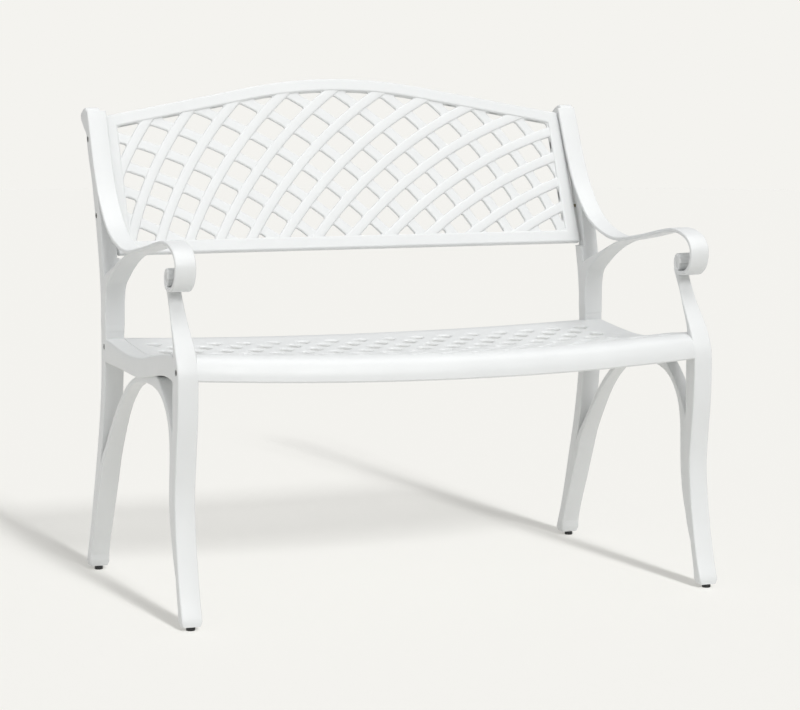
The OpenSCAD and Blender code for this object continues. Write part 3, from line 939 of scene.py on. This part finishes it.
# The back and the arms leave no second band of shadow on the floor
CAST_NO_FLOOR_SHADOW = ("back_rim", "back_lattice", "arm_strap", "arm_cap")
SEAT_PIECES = ("seat_panel", "seat_lugs", "seat_rail")


def plain_mesh(name, verts, faces, material):
    """A part of the stage."""
    obj = mesh_object(name, verts, faces)
    obj.data.materials.append(material)
    return obj


def studio():
    """A paper floor, a round wall that only the camera sees, and an even grey sky."""
    mat, _, _, shader = node_material("floor_paper")
    shader.inputs["Base Color"].default_value = (*FLOOR_ALBEDO, 1)
    shader.inputs["Roughness"].default_value = 1.0
    shader.inputs["Specular IOR Level"].default_value = 0.0
    shader.inputs["Emission Color"].default_value = (*FLOOR_GLOW, 1)
    shader.inputs["Emission Strength"].default_value = 1.0
    corners = ((-1, -1), (1, -1), (1, 1), (-1, 1))
    floor = plain_mesh("floor", [(x * STAGE_REACH, y * STAGE_REACH, 0) for x, y in corners],
                       [(0, 1, 2, 3)], mat)
    steps = 48
    verts = [(WALL_RADIUS * c, WALL_RADIUS * s, z) for z in WALL_HEIGHTS for c, s in circle(steps)]
    wall = plain_mesh("backdrop", verts, tube(2, steps, closed=False),
                      emitter("backdrop_paper", BACKDROP))
    for flag in ("visible_diffuse", "visible_glossy", "visible_shadow", "visible_transmission"):
        setattr(wall, flag, False)
    world = bpy.data.worlds.new("studio")
    bpy.context.scene.world = world
    world.use_nodes = True
    sky = world.node_tree.nodes["Background"]
    sky.inputs[0].default_value = (*grey(WORLD_LEVEL), 1)
    sky.inputs[1].default_value = 1.0
    return floor


def sun(name, towards, strength, angle, only=None, never=None):
    """A distant light. towards points from the bench to it, and angle is its size in degrees.

    only is the one object that it lights, and never the one that it doesn't."""
    data = bpy.data.lights.new(name, "SUN")
    data.energy = strength * math.pi
    data.angle = math.radians(angle)
    lamp = bpy.data.objects.new(name, data)
    bpy.context.scene.collection.objects.link(lamp)
    lamp.rotation_euler = Vector(towards).to_track_quat("Z", "Y").to_euler()
    target = only or never
    if target:
        group = bpy.data.collections.new(name + "_set")
        group.objects.link(target)
        lamp.light_linking.receiver_collection = group
        group.collection_objects[0].light_linking.link_state = "INCLUDE" if only else "EXCLUDE"
    return lamp


def spare(lamp, names):
    """The pieces whose names start so cast no shadow from this lamp."""
    group = bpy.data.collections.new(lamp.name + "_spared")
    for obj in bpy.context.scene.objects:
        if obj.name.startswith(names):
            group.objects.link(obj)
    lamp.light_linking.blocker_collection = group
    for entry in group.collection_objects:
        entry.light_linking.link_state = "EXCLUDE"


def direction(azimuth, elevation):
    """azimuth 0 is straight in front of the bench, positive towards +X."""
    a, e = math.radians(azimuth), math.radians(elevation)
    return (math.sin(a) * math.cos(e), -math.cos(a) * math.cos(e), math.sin(e))


def lights(floor):
    """The floor has lamps of its own, so that its shadows and the bench are lit apart."""
    key = direction(3.3, 29.05)
    soft = sun("key_floor", key, 0.6, 9, only=floor)
    spare(soft, CAST_NO_FLOOR_SHADOW)
    crisp = sun("key_floor_legs", key, 0.5, 3.5, only=floor)
    spare(crisp, CAST_NO_FLOOR_SHADOW + SEAT_PIECES)
    sun("key", key, 0.36, 22, never=floor)
    sun("overhead", direction(20, 78), 0.58, 60, never=floor)
    sun("fill_left", direction(-75, 25), 0.1, 50, never=floor)


CAMERA_AT = (-1.79816, -4.76449, 0.96084)
CAMERA_YAW = 0.38344
CAMERA_PITCH = 0.11117
CAMERA_ROLL = math.radians(-0.025)
CAMERA_LENS = 116.78


def camera():
    """The view. CAMERA_AT is measured from over the back glides, and the pitch is downwards."""
    data = bpy.data.cameras.new("camera")
    data.lens = CAMERA_LENS
    data.sensor_width = 36
    data.sensor_fit = "HORIZONTAL"
    data.clip_end = 100
    cam = bpy.data.objects.new("camera", data)
    bpy.context.scene.collection.objects.link(cam)
    cam.location = (CAMERA_AT[0], CAMERA_AT[1] + GLIDE_BACK, CAMERA_AT[2])
    cam.rotation_euler = (math.pi / 2 - CAMERA_PITCH, CAMERA_ROLL, -CAMERA_YAW)
    bpy.context.scene.camera = cam


# ---------------------------------------------------------------- build

for side in SIDE_NAMES:
    side_frame(side)
back_rim()
back_lattice()
seat_panel()
bolts("back_bolts", BOLTS_BACK, "zinc_yellow")
# The seat bolts' heads are near-black all over: painted shade for their dark recesses.
bolts("seat_bolts", [BOLTS_SEAT_REAR, BOLTS_SEAT_FRONT], "socket_shade")
for corner in ("front_left", "front_right", "back_left", "back_right"):
    glide(corner)
inserts = frame["nodes"]["glide_inserts"].data.materials
inserts.clear()
inserts.append(MATERIAL["zinc"])
floor = studio()
lights(floor)
camera()
bpy.context.scene.view_settings.view_transform = "Standard"
